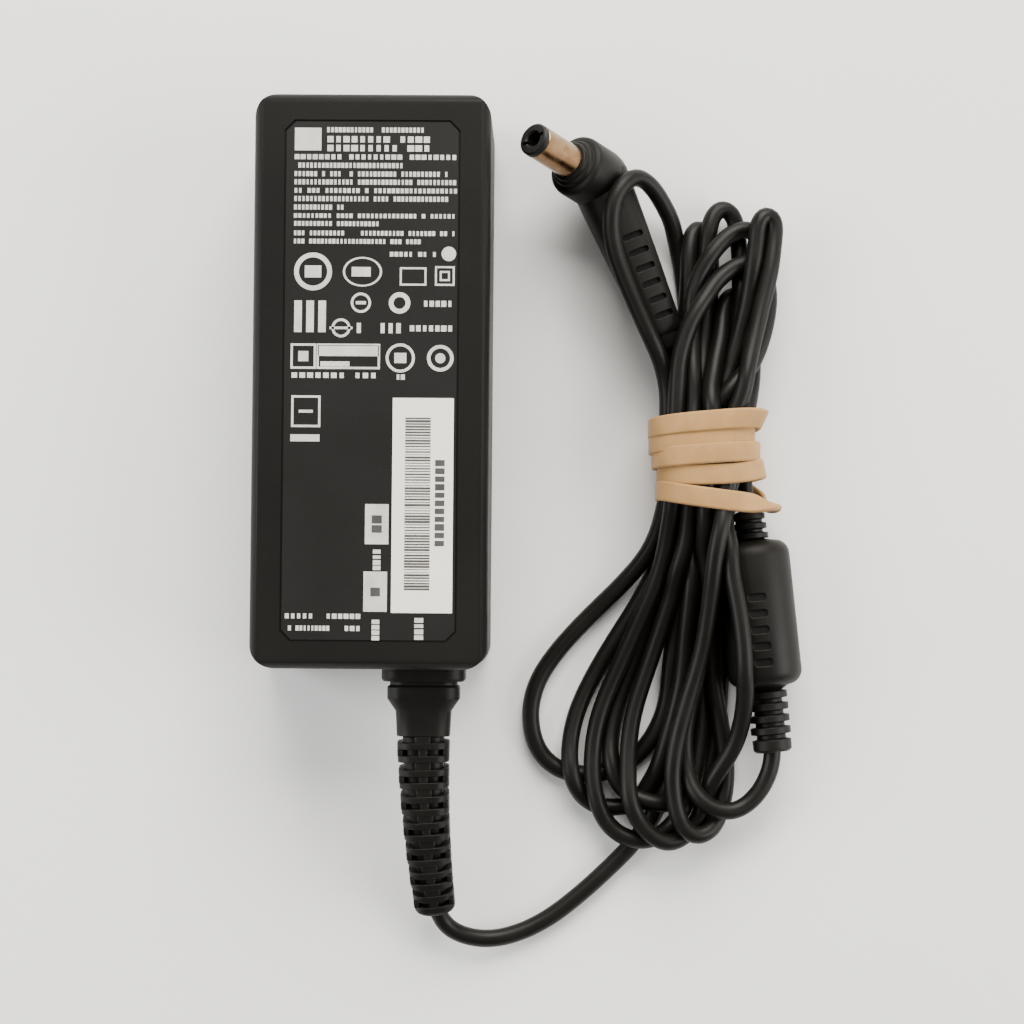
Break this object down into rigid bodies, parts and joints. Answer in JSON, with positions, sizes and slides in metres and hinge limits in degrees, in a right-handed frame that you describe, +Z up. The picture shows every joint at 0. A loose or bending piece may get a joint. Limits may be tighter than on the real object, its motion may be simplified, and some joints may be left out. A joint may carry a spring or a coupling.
{
  "type": "laptop power adapter",
  "caption": "Black laptop power adapter lying label side up: slim moulded case with mains inlet, ringed strain relief, ferrite, angled barrel plug, and its output cord tied by a rubber band",
  "frame": {"origin": "bottom centre of the case, which lies label side up on the surface", "axes": "+Z up out of the label, +Y along the case towards the mains inlet, +X towards the side where the cord lies"},
  "size_m": [0.0887, 0.1373, 0.026],
  "materials": {
    "case_plastic": "fine moulded texture, semi-matte black",
    "label_film": "smooth dark printed film",
    "white_sticker": "matte off-white sticker",
    "inlet_plastic": "black glass-filled plastic",
    "bright_pins": "nickel plated",
    "board": "green solder mask",
    "component_black": "moulded component body",
    "component_blue": "dipped epoxy",
    "component_yellow": "yellow film capacitor box",
    "component_white": "white moulded body",
    "ferrite": "sintered dark grey ferrite",
    "winding": "enamelled copper wire",
    "capacitor_can": "sleeved aluminium can",
    "heatsink": "bare aluminium sheet",
    "bobbin_plastic": "cream bobbin plastic",
    "wire_insulation": "red wire insulation",
    "pad": "grey silicone pad",
    "insulation": "insulating sheet",
    "cord_rubber": "black flexible cord sheath",
    "relief_rubber": "soft black overmould",
    "band_rubber": "tan natural rubber",
    "plug_metal": "plated sleeve with a warm tone",
    "tip_plastic": "black plug tip"
  },
  "bodies": {
    "root": {"label_side_shell": "case_plastic", "table_side_shell": "case_plastic", "rating_label": "label_film", "barcode_sticker": "white_sticker", "inlet_housing": "inlet_plastic", "inlet_pins": "bright_pins", "circuit_board": "board", "mains_fuse": "component_black", "surge_varistor": "component_blue", "x_capacitor": "component_yellow", "choke_core": "ferrite", "choke_windings": "winding", "bridge_rectifier": "component_black", "inrush_thermistor": "component_black", "bulk_capacitor": "capacitor_can", "primary_heatsink": "heatsink", "switching_transistor": "component_black", "y_capacitor": "component_blue", "optocoupler": "component_white", "controller_chip": "component_black", "chip_resistors": "component_black", "transformer_core": "ferrite", "transformer_bobbin": "bobbin_plastic", "transformer_winding": "winding", "output_rectifier": "component_black", "secondary_heatsink": "heatsink", "output_capacitors": "capacitor_can", "output_choke": "ferrite", "output_wires": "wire_insulation", "thermal_pad": "pad", "heat_spreader": "heatsink", "insulation_sheet": "insulation", "strain_relief": "relief_rubber", "cord_lead": "cord_rubber", "cord_top_loop": "cord_rubber", "cord_hank": "cord_rubber", "cord_in_ferrite": "cord_rubber", "ferrite_housing": "relief_rubber", "ferrite_core": "ferrite", "rubber_band": "band_rubber", "plug_body": "relief_rubber", "plug_barrel": "plug_metal", "plug_insulator": "tip_plastic", "plug_contact": "bright_pins"}
  },
  "joints": []
}
